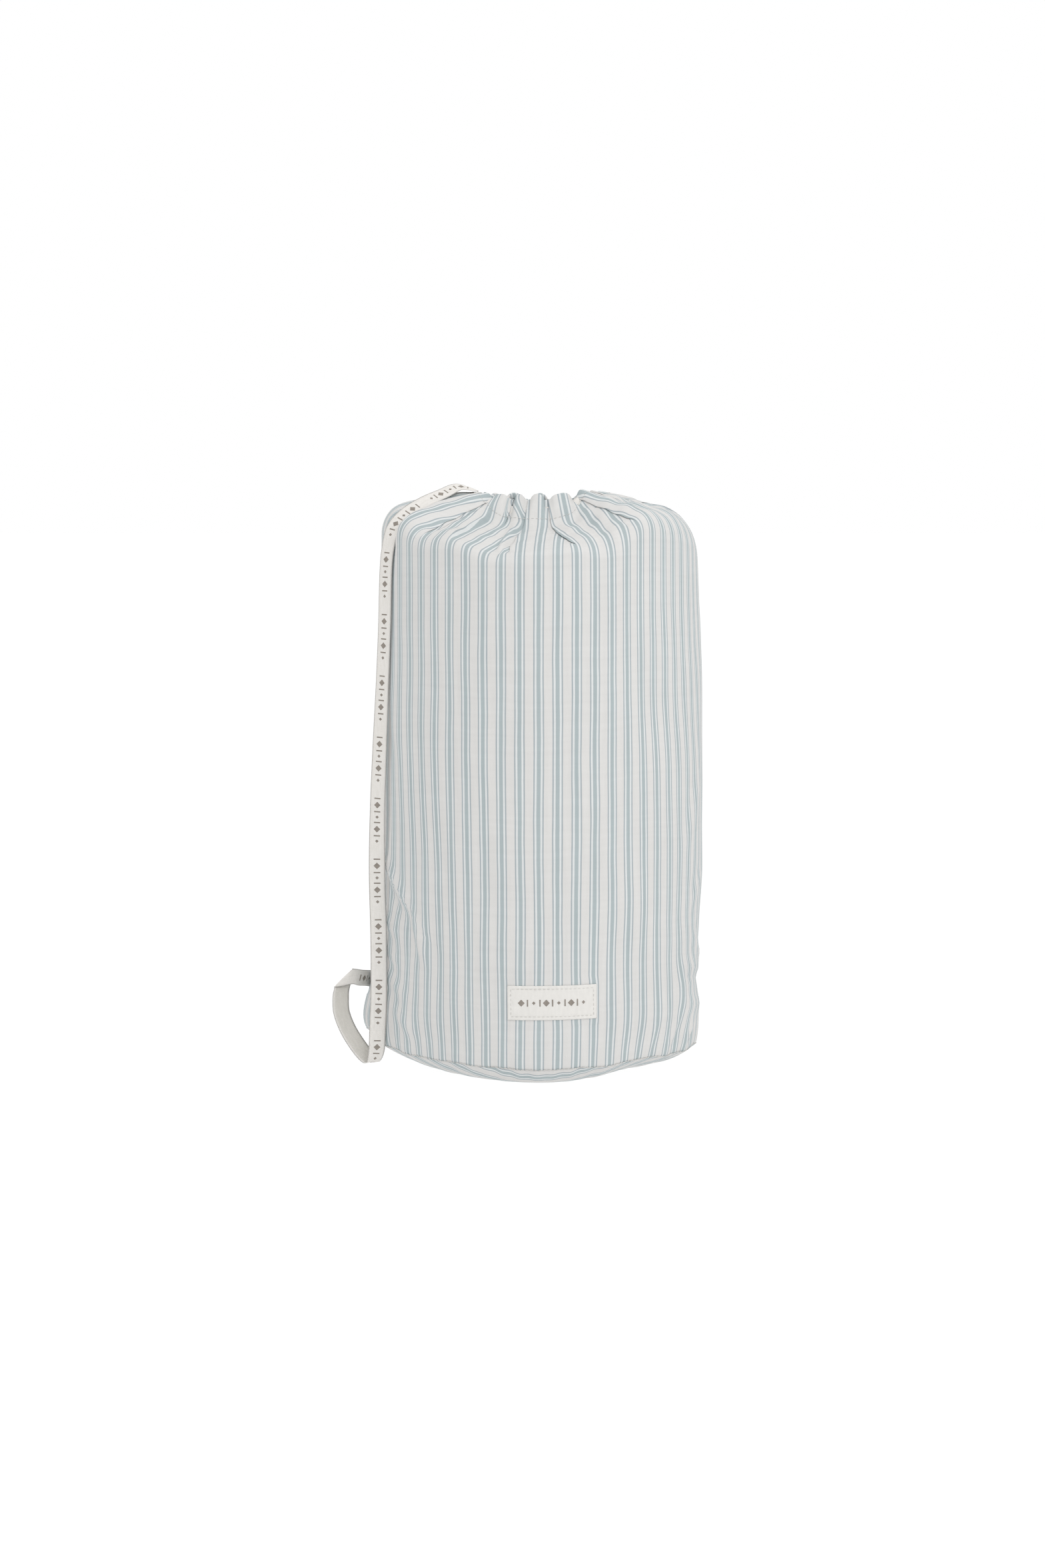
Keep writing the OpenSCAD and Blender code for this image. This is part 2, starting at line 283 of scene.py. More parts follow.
SHOULDER_ROUND = (
    (-120, 0.024), (-90, 0.022), (-60, 0.012), (-46, 0.009), (-21, 0.007), (0, 0.008), (15, 0.008),
    (28, 0.014), (38, 0.010), (50, 0.019), (65, 0.026), (90, 0.038), (120, 0.028), (180, 0.012),
)
SHOULDER_R = ((0, 0.1245), (60, 0.1232), (90, 0.1202), (180, 0.1245), (-90, 0.1252), (-50, 0.1250))
COLLAR_ROUND = 0.007

# Folds of the gathers: angle at the shoulder, angle at the rim, +1 where the panel on the right lies on top,
# how far up the shoulder the fold starts, and the angle that the stripes of the panel after it point to.
FOLDS = (
    (-165, -165, 1, 0.0, -152),
    (-140, -138, -1, 0.0, -129),
    (-118, -116, 1, 0.0, -106),
    (-95, -93, 1, 0.0, -84),
    (-72, -73, -1, 0.0, -60),
    (-49, -54, -1, 0.0, -27),
    (-19, -29.5, -1, 0.74, -27),
    (-13, -12.5, 1, 0.05, -3),
    (12, 6.5, 1, 0.0, 18),
    (36, 34.5, 1, 0.0, 46),
    (50, 52, -1, 0.5, 57),
    (64, 66, -1, 0.55, 73),
    (82, 84, 1, 0.45, 92),
    (103, 102, -1, 0.0, 114),
    (126, 125, 1, 0.0, 138),
    (148, 150, -1, 0.0, 160),
    (170, 172, 1, 0.0, 182.5),
)
FOLD_RAMP = 0.22
# Panel, counted from 0, whose stripes slide at the neck, and how far they slide.
NARROW_PANEL, NARROW_SLIDE = 6, 0.012
# Folds that lie flatter than the others: angle at the shoulder, and the share of the height taken away.
FLATTER_FOLDS = ((-49, 0.42), (-72, 0.66))

# Section across a fold, in metres: place across it, height above the cloth, and 1 where it is the next panel.
FOLD_SECTION = (
    (-0.0045, -0.0001, 0),
    (-0.0022, -0.0004, 0),
    (0.0002, -0.0007, 0),
    (0.0026, -0.0009, 0),
    (0.0035, -0.0007, 0),
    (0.0022, -0.0004, 1),
    (-0.0006, -0.0001, 1),
    (-0.0012, 0.0002, 1),
    (-0.0007, 0.0005, 1),
    (0.0014, 0.0007, 1),
)
FLAT_HALF = 0.0042
ARCH = 0.0022
RIM_DIP = 0.0034

BODY_ROWS = 84
UPPER_ROWS = (12, 12, 22, 8, 14)
LIP_ROWS = 5
HEM_ROWS = 12


def upper_profile(deg):
    """Radius and height of the cloth above the straight wall, one row per step upwards."""
    a = np.stack([wall_radius(deg, SHOULDER_Z), np.full_like(deg, SHOULDER_Z)], -1)
    b = np.stack([around(SHOULDER_R, deg), around(SHOULDER_HEIGHT, deg, 3.5)], -1)
    c = np.stack([np.full_like(deg, COLLAR_R), around(COLLAR_HEIGHT, deg, 3.5)], -1)
    d = np.stack([np.full_like(deg, MOUTH_R), around(RIM_HEIGHT, deg)], -1)

    def step(p, q, share):
        return p + (q - p) * share

    def share(p, q, length, most):
        return np.minimum(length / np.linalg.norm(q - p, axis=-1), most)[..., None]

    turn = around(SHOULDER_ROUND, deg)
    b_in, b_out = step(b, a, share(a, b, turn, 0.9)), step(b, c, share(b, c, turn, 0.5))
    c_in, c_out = step(c, b, share(b, c, COLLAR_ROUND, 0.4)), step(c, d, share(c, d, COLLAR_ROUND, 0.45))
    rows = []
    for count, (p, m, q) in zip(
        UPPER_ROWS,
        ((a, None, b_in), (b_in, b, b_out), (b_out, None, c_in), (c_in, c, c_out), (c_out, None, d)),
    ):
        for t in (np.arange(count) + 1) / count:
            rows.append(step(p, q, t) if m is None else step(step(p, m, t), step(m, q, t), t))
    return np.array(rows)


def column_layout():
    """For every column: fold index, place in the section or -1, and place in the panel after that fold."""
    columns = []
    count = len(FOLDS)
    for k in range(count):
        for s in range(len(FOLD_SECTION)):
            columns.append((k, s, 0.0))
        width = (FOLDS[(k + 1) % count][0] - FOLDS[k][0]) % 360
        inner = max(3, round(width / 0.95) - 7)
        for i in range(inner):
            columns.append((k, -1, (i + 1) / (inner + 1)))
    return columns


def build_cloth():
    """Positions and cloth coordinates of the one piece from the base seam over the shoulder to the hem."""
    columns = column_layout()
    count = len(FOLDS)
    k = np.array([c[0] for c in columns])
    section = np.array([c[1] for c in columns])
    share = np.array([c[2] for c in columns])
    folds = np.array([f[:4] for f in FOLDS], float)
    anchor_after = np.array([f[4] for f in FOLDS], float)
    anchor_before = np.roll(anchor_after, 1)
    anchor_before[0] -= 360
    nxt = (k + 1) % count
    wrap = np.where(nxt == 0, 360.0, 0.0)

    flipped = folds[k, 2] < 0
    table = np.array(FOLD_SECTION)
    last = len(FOLD_SECTION) - 1
    at = np.where(section >= 0, section, 0)
    folded_x = np.where(flipped, -table[last - at, 0], table[at, 0])
    folded_h = np.where(flipped, table[last - at, 1], table[at, 1])
    belongs = np.where(flipped, 1 - table[last - at, 2], table[at, 2])
    flat_x = -FLAT_HALF + 2 * FLAT_HALF * at / last
    depth = np.ones(len(k))
    for at_deg, taken in FLATTER_FOLDS:
        depth = depth - taken * hump(folds[k, 0], at_deg, 8)

    def place(q, r):
        """Angle of every column at radial progress q and radius r, and how far its folds are formed there."""
        q = np.clip(q, 0, 1)
        centre = folds[k, 0] + (folds[k, 1] - folds[k, 0]) * q
        centre_next = folds[nxt, 0] + wrap + (folds[nxt, 1] - folds[nxt, 0]) * q
        strength = smoothstep((q - folds[k, 3]) / FOLD_RAMP)
        strength_next = smoothstep((q - folds[nxt, 3]) / FOLD_RAMP)
        tight = np.clip(r / BAG_R, 0.45, 1)
        size = 0.55 + 0.45 * tight
        shut = strength * depth
        x = (flat_x * tight + (folded_x * size - flat_x * tight) * shut) / r
        start = centre + np.degrees(FLAT_HALF * (tight + (0.0012 / FLAT_HALF * size - tight) * shut) / r)
        end = centre_next - np.degrees(FLAT_HALF * (tight + (size - tight) * strength_next) / r)
        middle = start + (end - start) * share
        return np.where(section >= 0, centre + np.degrees(x), middle), strength, strength_next

    # The wall, then the rows above it, whose angles and radii depend on each other and settle in three goes.
    body_share = (np.arange(BODY_ROWS) / (BODY_ROWS - 1)) ** 1.12
    deg0, _, _ = place(np.zeros(len(k)), np.full(len(k), BAG_R))
    seam = seam_height(deg0)
    body_z = seam + (SHOULDER_Z - seam) * body_share[:, None]
    body_deg = np.broadcast_to(deg0, body_z.shape)
    body_r = wall_radius(body_deg, body_z)

    upper = upper_profile(deg0)
    shoulder_r = around(SHOULDER_R, deg0)
    for _ in range(3):
        q = (shoulder_r - upper[..., 0]) / (shoulder_r - MOUTH_R)
        deg = np.array([place(q[i], upper[i, :, 0])[0] for i in range(len(upper))])
        rows = [upper_profile(deg[i])[i] for i in range(len(upper))]
        upper = np.array(rows)
        shoulder_r = around(SHOULDER_R, deg)
    q = np.clip((shoulder_r - upper[..., 0]) / (shoulder_r - MOUTH_R), 0, 1)
    placed = [place(q[i], upper[i, :, 0]) for i in range(len(upper))]
    strength = np.array([p[1] for p in placed])
    strength_next = np.array([p[2] for p in placed])

    # Height of folds, arched panels and small crumples above the plain section.
    tangent = unit(np.gradient(upper, axis=0))
    normal = np.stack([tangent[..., 1], -tangent[..., 0]], -1)
    edge_fade = (share * (1 - share) * 4) ** 0.8
    open_share = np.where(share < 0.5, strength, strength_next)
    wide = (folds[nxt, 1] + wrap - folds[k, 1]) / 24
    arched = 0.0006 + ARCH * np.minimum(wide, 1.4) * edge_fade
    panel_lift = open_share * arched - 0.0004 * (1 - edge_fade) * open_share
    lift = np.where(section >= 0, folded_h * strength * depth, panel_lift)
    crumple = smoothstep(q, 0.0, 0.25)
    soft = 0.0006 + 0.0009 * hump(deg, 60, 26)
    lift = lift + crumple * soft * waves(deg, upper[..., 0] * 4, 21, 9, 26, 0.16, 9)
    upper = upper + normal * lift[..., None]
    near_fold = np.where(section >= 0, 1.0, np.maximum(np.exp(-share * 7), np.exp(-(1 - share) * 7)))
    neck = smoothstep(q, 0.85, 1.0)
    upper[..., 1] -= RIM_DIP * near_fold * neck

    # Over the rim and down inside, as the hem of the casing.
    lip, hem = [], []
    rim, t_rim, n_rim = upper[-1], tangent[-1], normal[-1]
    radius = CASING_DEPTH / 2
    for i in range(LIP_ROWS):
        a = math.pi * (i + 1) / (LIP_ROWS + 1)
        lip.append(rim - n_rim * radius + (n_rim * math.cos(a) + t_rim * math.sin(a)) * radius)
    casing = sum(UPPER_ROWS[3:])
    hem_rows = [-1 - round(i * (casing + 3) / (HEM_ROWS - 1)) for i in range(HEM_ROWS)]
    for i, row in enumerate(hem_rows):
        under = CASING_DEPTH * (1 - 0.75 * smoothstep(i / (HEM_ROWS - 1), 0.7, 1.0))
        flat = upper[row] - normal[row] * lift[row][:, None] * 0.5
        hem.append(flat - normal[row] * under)

    points = np.concatenate([np.stack([body_r, body_z], -1), upper, np.array(lip), np.array(hem)])
    tail = LIP_ROWS + HEM_ROWS
    full_deg = np.concatenate([body_deg, deg, np.repeat(deg[-1:], LIP_ROWS, 0), deg[hem_rows]])

    def whole(body_value, part):
        """One value on the wall, the given ones above it, and the rim's from there to the hem."""
        return np.concatenate([np.full_like(body_r, body_value), part, np.repeat(part[-1:], tail, 0)])

    # Stripes: each panel points its own way, and all of them close up towards the rim.
    pull = whole(1, np.clip(1 - q * (1 - MOUTH_R / shoulder_r), 0, 1))
    u_after = BAG_R * np.radians(anchor_after[k] + pull * (full_deg - anchor_after[k]))
    u_before = BAG_R * np.radians(anchor_before[k] + pull * (full_deg - anchor_before[k]))
    after = 1 + (belongs - 1) * whole(0, strength)
    u = np.where(section >= 0, u_before + (u_after - u_before) * after, u_after)
    steps = np.linalg.norm(np.diff(points, axis=0), axis=-1)
    v = np.concatenate([np.zeros((1, len(k))), np.cumsum(steps, axis=0)])
    narrow = (k == NARROW_PANEL) | ((k == NARROW_PANEL + 1) & (belongs == 0) & (section >= 0))
    u = u + np.where(narrow, whole(0, neck) * NARROW_SLIDE, 0.0)
    wobble = 0.00030 * waves(full_deg, v, 31, 3, 14, 0.12) + 0.00010 * waves(full_deg, v, 33, 20, 44, 0.05)
    free = smoothstep(-v, -0.42, -0.30) * (1 - label_cover(full_deg, points[..., 1]))
    u = u + wobble * free + cloth_drift(full_deg, points[..., 1])

    return turned(full_deg, points[..., 0], points[..., 1]), np.stack([u, v], -1), section


# ---------------------------------------------------------------- mesh builders


def add_mesh(name, points, faces, material, uv_loops=None):
    mesh = bpy.data.meshes.new(name)
    mesh.from_pydata([tuple(p) for p in points], [], faces)
    mesh.materials.append(material)
    if uv_loops is not None:
        layer = mesh.uv_layers.new(name="cloth")
        layer.data.foreach_set("uv", np.asarray(uv_loops, np.float32).ravel())
    mesh.polygons.foreach_set("use_smooth", [True] * len(mesh.polygons))
    mesh.update()
    obj = bpy.data.objects.new(name, mesh)
    bpy.context.scene.collection.objects.link(obj)
    return obj


def grid_uv(columns, rows):
    """Cloth coordinates of a grid: the first is set by the column and the second by the row."""
    return np.stack(np.meshgrid(columns, rows), -1)


def grid_faces(uv, closed, uv_span=0.0):
    """Faces of a grid and the cloth coordinates of their corners; closed joins its last and first columns."""
    rows, cols = uv.shape[:2]
    wrapped = np.concatenate([uv, uv[:, :1] + np.array([uv_span, 0])], 1) if closed else uv
    faces, loops = [], []
    for i in range(rows - 1):
        for j in range(cols if closed else cols - 1):
            n = (j + 1) % cols
            faces.append((i * cols + j, i * cols + n, (i + 1) * cols + n, (i + 1) * cols + j))
            loops += [wrapped[i, j], wrapped[i, j + 1], wrapped[i + 1, j + 1], wrapped[i + 1, j]]
    return faces, loops


def grid_mesh(name, xyz, uv, material, closed, uv_span=0.0):
    faces, loops = grid_faces(uv, closed, uv_span)
    return add_mesh(name, xyz.reshape(-1, 3), faces, material, np.array(loops))


def thicken(obj, thickness, offset=-1.0):
    """Gives a sheet real thickness and keeps the result as plain mesh."""
    modifier = obj.modifiers.new("thickness", "SOLIDIFY")
    modifier.thickness = thickness
    modifier.offset = offset
    bpy.context.view_layer.objects.active = obj
    for other in bpy.context.selected_objects:
        other.select_set(False)
    obj.select_set(True)
    bpy.ops.object.modifier_apply(modifier=modifier.name)
    obj.select_set(False)
    return obj


def tubes(name, paths, radius, material, sides=6):
    """Round threads with thin ends along the given paths, as one mesh. Each path is an array of points."""
    points, faces, loops = [], [], []
    for path in paths:
        path = np.asarray(path, float)
        tangent = np.gradient(path, axis=0)
        tangent /= np.linalg.norm(tangent, axis=1, keepdims=True) + 1e-12
        helper = np.where(np.abs(tangent[:, 2:]) < 0.9, [[0, 0, 1.0]], [[1.0, 0, 0]])
        side = unit(np.cross(tangent, helper))
        up = np.cross(side, tangent)
        run = length_so_far(path)
        base, n = len(points), len(path)
        for i in range(n):
            thin = 0.35 if i in (0, n - 1) else 1.0
            for s in range(sides):
                a = 2 * math.pi * s / sides
                points.append(path[i] + (side[i] * math.cos(a) + up[i] * math.sin(a)) * radius * thin)
        path_faces, path_loops = grid_faces(grid_uv(np.arange(sides) / sides, run), closed=True, uv_span=1.0)
        path_faces.append(tuple(reversed(range(sides))))
        path_faces.append(tuple((n - 1) * sides + s for s in range(sides)))
        faces += [tuple(base + corner for corner in face) for face in path_faces]
        loops += path_loops + [(0.5, 0.0)] * sides + [(0.5, run[-1])] * sides
    return add_mesh(name, points, faces, material, np.array(loops))


def stitch_paths(line, normals, length, gap, lift, closed=True):
    """Short arched stitches laid end to end along a line of points with their outward normals."""
    line, normals = np.asarray(line, float), np.asarray(normals, float)
    if closed:
        line, normals = np.vstack([line, line[:1]]), np.vstack([normals, normals[:1]])
    run = length_so_far(line)
    count = max(1, int(run[-1] / (length + gap)))
    pitch = run[-1] / count
    paths = []
    for i in range(count):
        s = (i + np.array([0.02, 0.18, 0.5, 0.82, 0.98]) * length / pitch) * pitch
        n = unit(read_rows(s, run, normals))
        paths.append(read_rows(s, run, line) + n * (lift * np.array([-0.9, 0.5, 1.0, 0.5, -0.9]))[:, None])
    return paths


# ---------------------------------------------------------------- materials


def linear(r, g, b):
    """Linear colour of a display colour given from 0 to 255."""
    shares = (r / 255, g / 255, b / 255)
    return tuple(c / 12.92 if c <= 0.04045 else ((c + 0.055) / 1.055) ** 2.4 for c in shares)


class Shader:
    """Builder of a cloth material on the UV map "cloth", whose coordinates are metres on the flat cloth."""

    def __init__(self, name, roughness=0.92):
        self.material = bpy.data.materials.new(name)
        self.material.use_nodes = True
        self.nodes = self.material.node_tree.nodes
        self.links = self.material.node_tree.links
        self.surface = self.nodes["Principled BSDF"]
        self.surface.inputs["Roughness"].default_value = roughness
        self.surface.inputs["Specular IOR Level"].default_value = 0.12
        self.map = self.nodes.new("ShaderNodeUVMap")
        self.map.uv_map = "cloth"
        parts = self.nodes.new("ShaderNodeSeparateXYZ")
        self.links.new(self.map.outputs[0], parts.inputs[0])
        self.u, self.v = parts.outputs[0], parts.outputs[1]

    def math(self, operation, *values):
        node = self.nodes.new("ShaderNodeMath")
        node.operation = operation
        for socket, value in zip(node.inputs, values):
            if isinstance(value, (int, float)):
                socket.default_value = value
            else:
                self.links.new(value, socket)
        return node.outputs[0]

    def ramp(self, value, stops):
        node = self.nodes.new("ShaderNodeValToRGB")
        elements = node.color_ramp.elements
        while len(elements) > 1:
            elements.remove(elements[-1])
        elements[0].position, elements[0].color = stops[0][0], (*stops[0][1], 1)
        for position, colour in stops[1:]:
            elements.new(position).color = (*colour, 1)
        self.links.new(value, node.inputs[0])
        return node.outputs[0]

    def noise(self, scale, detail=2.0, stretch=(1, 1, 1)):
        mapping = self.nodes.new("ShaderNodeMapping")
        mapping.inputs["Scale"].default_value = stretch
        self.links.new(self.map.outputs[0], mapping.inputs[0])
        node = self.nodes.new("ShaderNodeTexNoise")
        node.inputs["Scale"].default_value = scale
        node.inputs["Detail"].default_value = detail
        self.links.new(mapping.outputs[0], node.inputs["Vector"])
        return node.outputs[0]

    def tinted(self, colour, tint):
        node = self.nodes.new("ShaderNodeMix")
        node.data_type = "RGBA"
        node.blend_type = "MULTIPLY"
        node.inputs[0].default_value = 1.0
        self.links.new(colour, node.inputs[6])
        self.links.new(tint, node.inputs[7])
        return node.outputs[2]

    def threads(self, spacing):
        """Height of a plain weave with that thread spacing, from -1 to 1."""
        turn = 2 * math.pi / spacing
        warp = self.math("SINE", self.math("MULTIPLY", self.u, turn))
        weft = self.math("SINE", self.math("MULTIPLY", self.v, turn))
        return self.math("MULTIPLY", warp, weft)

    def bump(self, layers):
        """Chains bump layers of (height, distance, strength) into the surface."""
        previous = None
        for height, distance, strength in layers:
            node = self.nodes.new("ShaderNodeBump")
            node.inputs["Distance"].default_value = distance
            node.inputs["Strength"].default_value = strength
            self.links.new(height, node.inputs["Height"])
            if previous is not None:
                self.links.new(previous, node.inputs["Normal"])
            previous = node.outputs[0]
        self.links.new(previous, self.surface.inputs["Normal"])

    def finish(self, colour):
        self.links.new(colour, self.surface.inputs["Base Color"])
        return self.material


# Woven colours: ground, the gaps beside the wide stripe, the wide stripe and the thin lines.
GROUND = linear(211, 210, 208)
GAP = linear(213, 216, 216)
WIDE = linear(169, 179, 181)
THIN = linear(164, 172, 176)


def ticking_material():
    """Off-white cotton with woven stripes: a wide stripe between two thin lines, repeated round the bag."""
    s = Shader("striped_ticking")
    turns = s.math("MULTIPLY", s.math("ADD", s.u, STRIPE_START), 1 / PITCH)
    phase = s.math("FRACT", s.math("ADD", turns, 0.5))
    centred = s.math("ABSOLUTE", s.math("SUBTRACT", phase, 0.5))
    edge = s.math("MULTIPLY", s.math("SUBTRACT", s.noise(900, 2, (1, 0.15, 1)), 0.5), 0.012)
    place = s.math("MULTIPLY", s.math("ADD", centred, edge), 2.0)
    half = PITCH * 1000 / 2  # half a repeat in millimetres, as the stops below are
    stripe = s.ramp(
        place,
        [
            (0.0, WIDE),
            (1.42 / half, WIDE),
            (1.58 / half, GAP),
            (2.88 / half, GAP),
            (3.02 / half, THIN),
            (3.90 / half, THIN),
            (4.06 / half, GROUND),
            (1.0, GROUND),
        ],
    )
    slub = s.ramp(s.noise(260, 3, (1, 0.06, 1)), [(0.30, (0.955,) * 3), (0.70, (1.0,) * 3)])
    weft = s.ramp(s.noise(260, 3, (0.06, 1, 1)), [(0.30, (0.965,) * 3), (0.70, (1.0,) * 3)])
    colour = s.tinted(s.tinted(stripe, slub), weft)
    creases, fuzz = s.noise(38, 4), s.noise(1500, 2)
    s.bump([(creases, 0.0016, 0.35), (fuzz, 0.00012, 0.3), (s.threads(0.0006), 0.00006, 0.25)])
    return s.finish(colour)


def plain_cloth(name, low, high, spacing, crumple=0.2, roughness=0.92):
    """Plain woven cloth whose colour drifts between two close tones."""
    s = Shader(name, roughness)
    tone = s.ramp(s.noise(420, 3, (1, 0.3, 1)), [(0.30, low), (0.72, high)])
    s.bump([(s.noise(90, 3), 0.0005, crumple), (s.threads(spacing), 0.00012, 0.35)])
    return s.finish(tone)


def tape_material():
    """Flat woven tape with a fine lengthwise rib, slightly darker woven edges, and a reverse side darkened by
    painted shade.
    """
    s = Shader("woven_tape")
    low, high = linear(215, 212, 207), linear(223, 220, 216)
    tone = s.ramp(s.noise(700, 3, (1, 0.2, 1)), [(0.30, low), (0.72, high)])
    across = s.math("ABSOLUTE", s.math("SUBTRACT", s.math("MULTIPLY", s.u, 1 / TAPE_W), 0.5))
    # The ramp darkens the woven edges a little, and past its middle darkens the tape's reverse side further as
    # painted shade.
    front = [(0.0, (1.0,) * 3), (0.44, (1.0,) * 3), (0.47, (0.93,) * 3), (0.5, (0.95,) * 3)]
    edge = s.ramp(across, front + [(0.7, (0.80, 0.80, 0.78)), (1.0, (0.80, 0.80, 0.78))])
    rib = s.math("SINE", s.math("MULTIPLY", s.v, 2 * math.pi / 0.0011))
    s.bump([(rib, 0.00008, 0.35), (s.threads(0.0009), 0.00008, 0.3)])
    return s.finish(s.tinted(tone, edge))


def thread_material(name, low, high):
    """Twisted sewing thread: its twist goes once round for every 0.7 mm of its length."""
    s = Shader(name, 0.75)
    tone = s.ramp(s.noise(1200, 2), [(0.3, low), (0.7, high)])
    twist = s.math("SINE", s.math("ADD", s.math("MULTIPLY", s.v, 9000), s.math("MULTIPLY", s.u, 2 * math.pi)))
    s.bump([(twist, 0.00005, 0.5)])
    return s.finish(tone)


ticking = ticking_material()
tape_cloth = tape_material()
label_cloth = plain_cloth("label_cloth", linear(217, 215, 211), linear(223, 221, 217), 0.0005, 0.15, 0.8)
binding_cloth = plain_cloth("binding_cloth", linear(203, 200, 196), linear(212, 210, 206), 0.0006)
thread = thread_material("thread", linear(198, 197, 193), linear(212, 210, 206))
print_thread = plain_cloth("taupe_print", linear(136, 129, 122), linear(149, 142, 134), 0.0005, 0.1, 0.85)


# ---------------------------------------------------------------- camera and light

CAMERA_PLACE = (-0.015, -2.3, 0.446)
CAMERA_TARGET = (-0.015, 0, 0.217)
LENS_MM, SENSOR_MM = 67.24, 36
FLOOR_HALF, FLOOR_DROP = 30, 0.0004


def place_and_aim(name, data, place, target):
    """Adds a camera or lamp at a place, pointed at its target."""
    obj = bpy.data.objects.new(name, data)
    bpy.context.scene.collection.objects.link(obj)
    obj.location = place
    obj.rotation_euler = (Vector(target) - Vector(place)).to_track_quat("-Z", "Y").to_euler()
    return obj


camera_data = bpy.data.cameras.new("camera")
camera_data.lens = LENS_MM
camera_data.sensor_width = SENSOR_MM
camera = place_and_aim("camera", camera_data, CAMERA_PLACE, CAMERA_TARGET)
bpy.context.scene.camera = camera
bpy.context.scene.view_settings.view_transform = "Standard"

world = bpy.data.worlds.new("studio")
bpy.context.scene.world = world
world.use_nodes = True
world.node_tree.nodes["Background"].inputs[0].default_value = (1.0, 1.0, 1.0, 1)
world.node_tree.nodes["Background"].inputs[1].default_value = 1.0


def soft_box(name, place, target, size, power):
    data = bpy.data.lights.new(name, "AREA")
    data.shape = "RECTANGLE"
    data.size, data.size_y = size
    data.energy = power
    place_and_aim(name, data, place, target)


soft_box("key", (1.2, -1.7, 1.4), (0, 0, 0.25), (1.6, 1.6), 9.8)
soft_box("top", (0.15, -0.50, 1.75), (0, 0, 0.40), (1.2, 1.2), 3)

floor_shader = bpy.data.materials.new("floor")
floor_shader.use_nodes = True
floor_surface = floor_shader.node_tree.nodes["Principled BSDF"]
floor_surface.inputs["Base Color"].default_value = (0.12, 0.12, 0.12, 1)
floor_surface.inputs["Roughness"].default_value = 1.0
floor_surface.inputs["Specular IOR Level"].default_value = 0.0
floor_surface.inputs["Emission Color"].default_value = (1, 1, 1, 1)
floor_surface.inputs["Emission Strength"].default_value = 0.93
corner_sides = ((-1, -1), (1, -1), (1, 1), (-1, 1))
floor_corners = [(x * FLOOR_HALF, y * FLOOR_HALF, -FLOOR_DROP) for x, y in corner_sides]
floor = add_mesh("floor", floor_corners, [(0, 1, 2, 3)], floor_shader)


# ---------------------------------------------------------------- the free tape

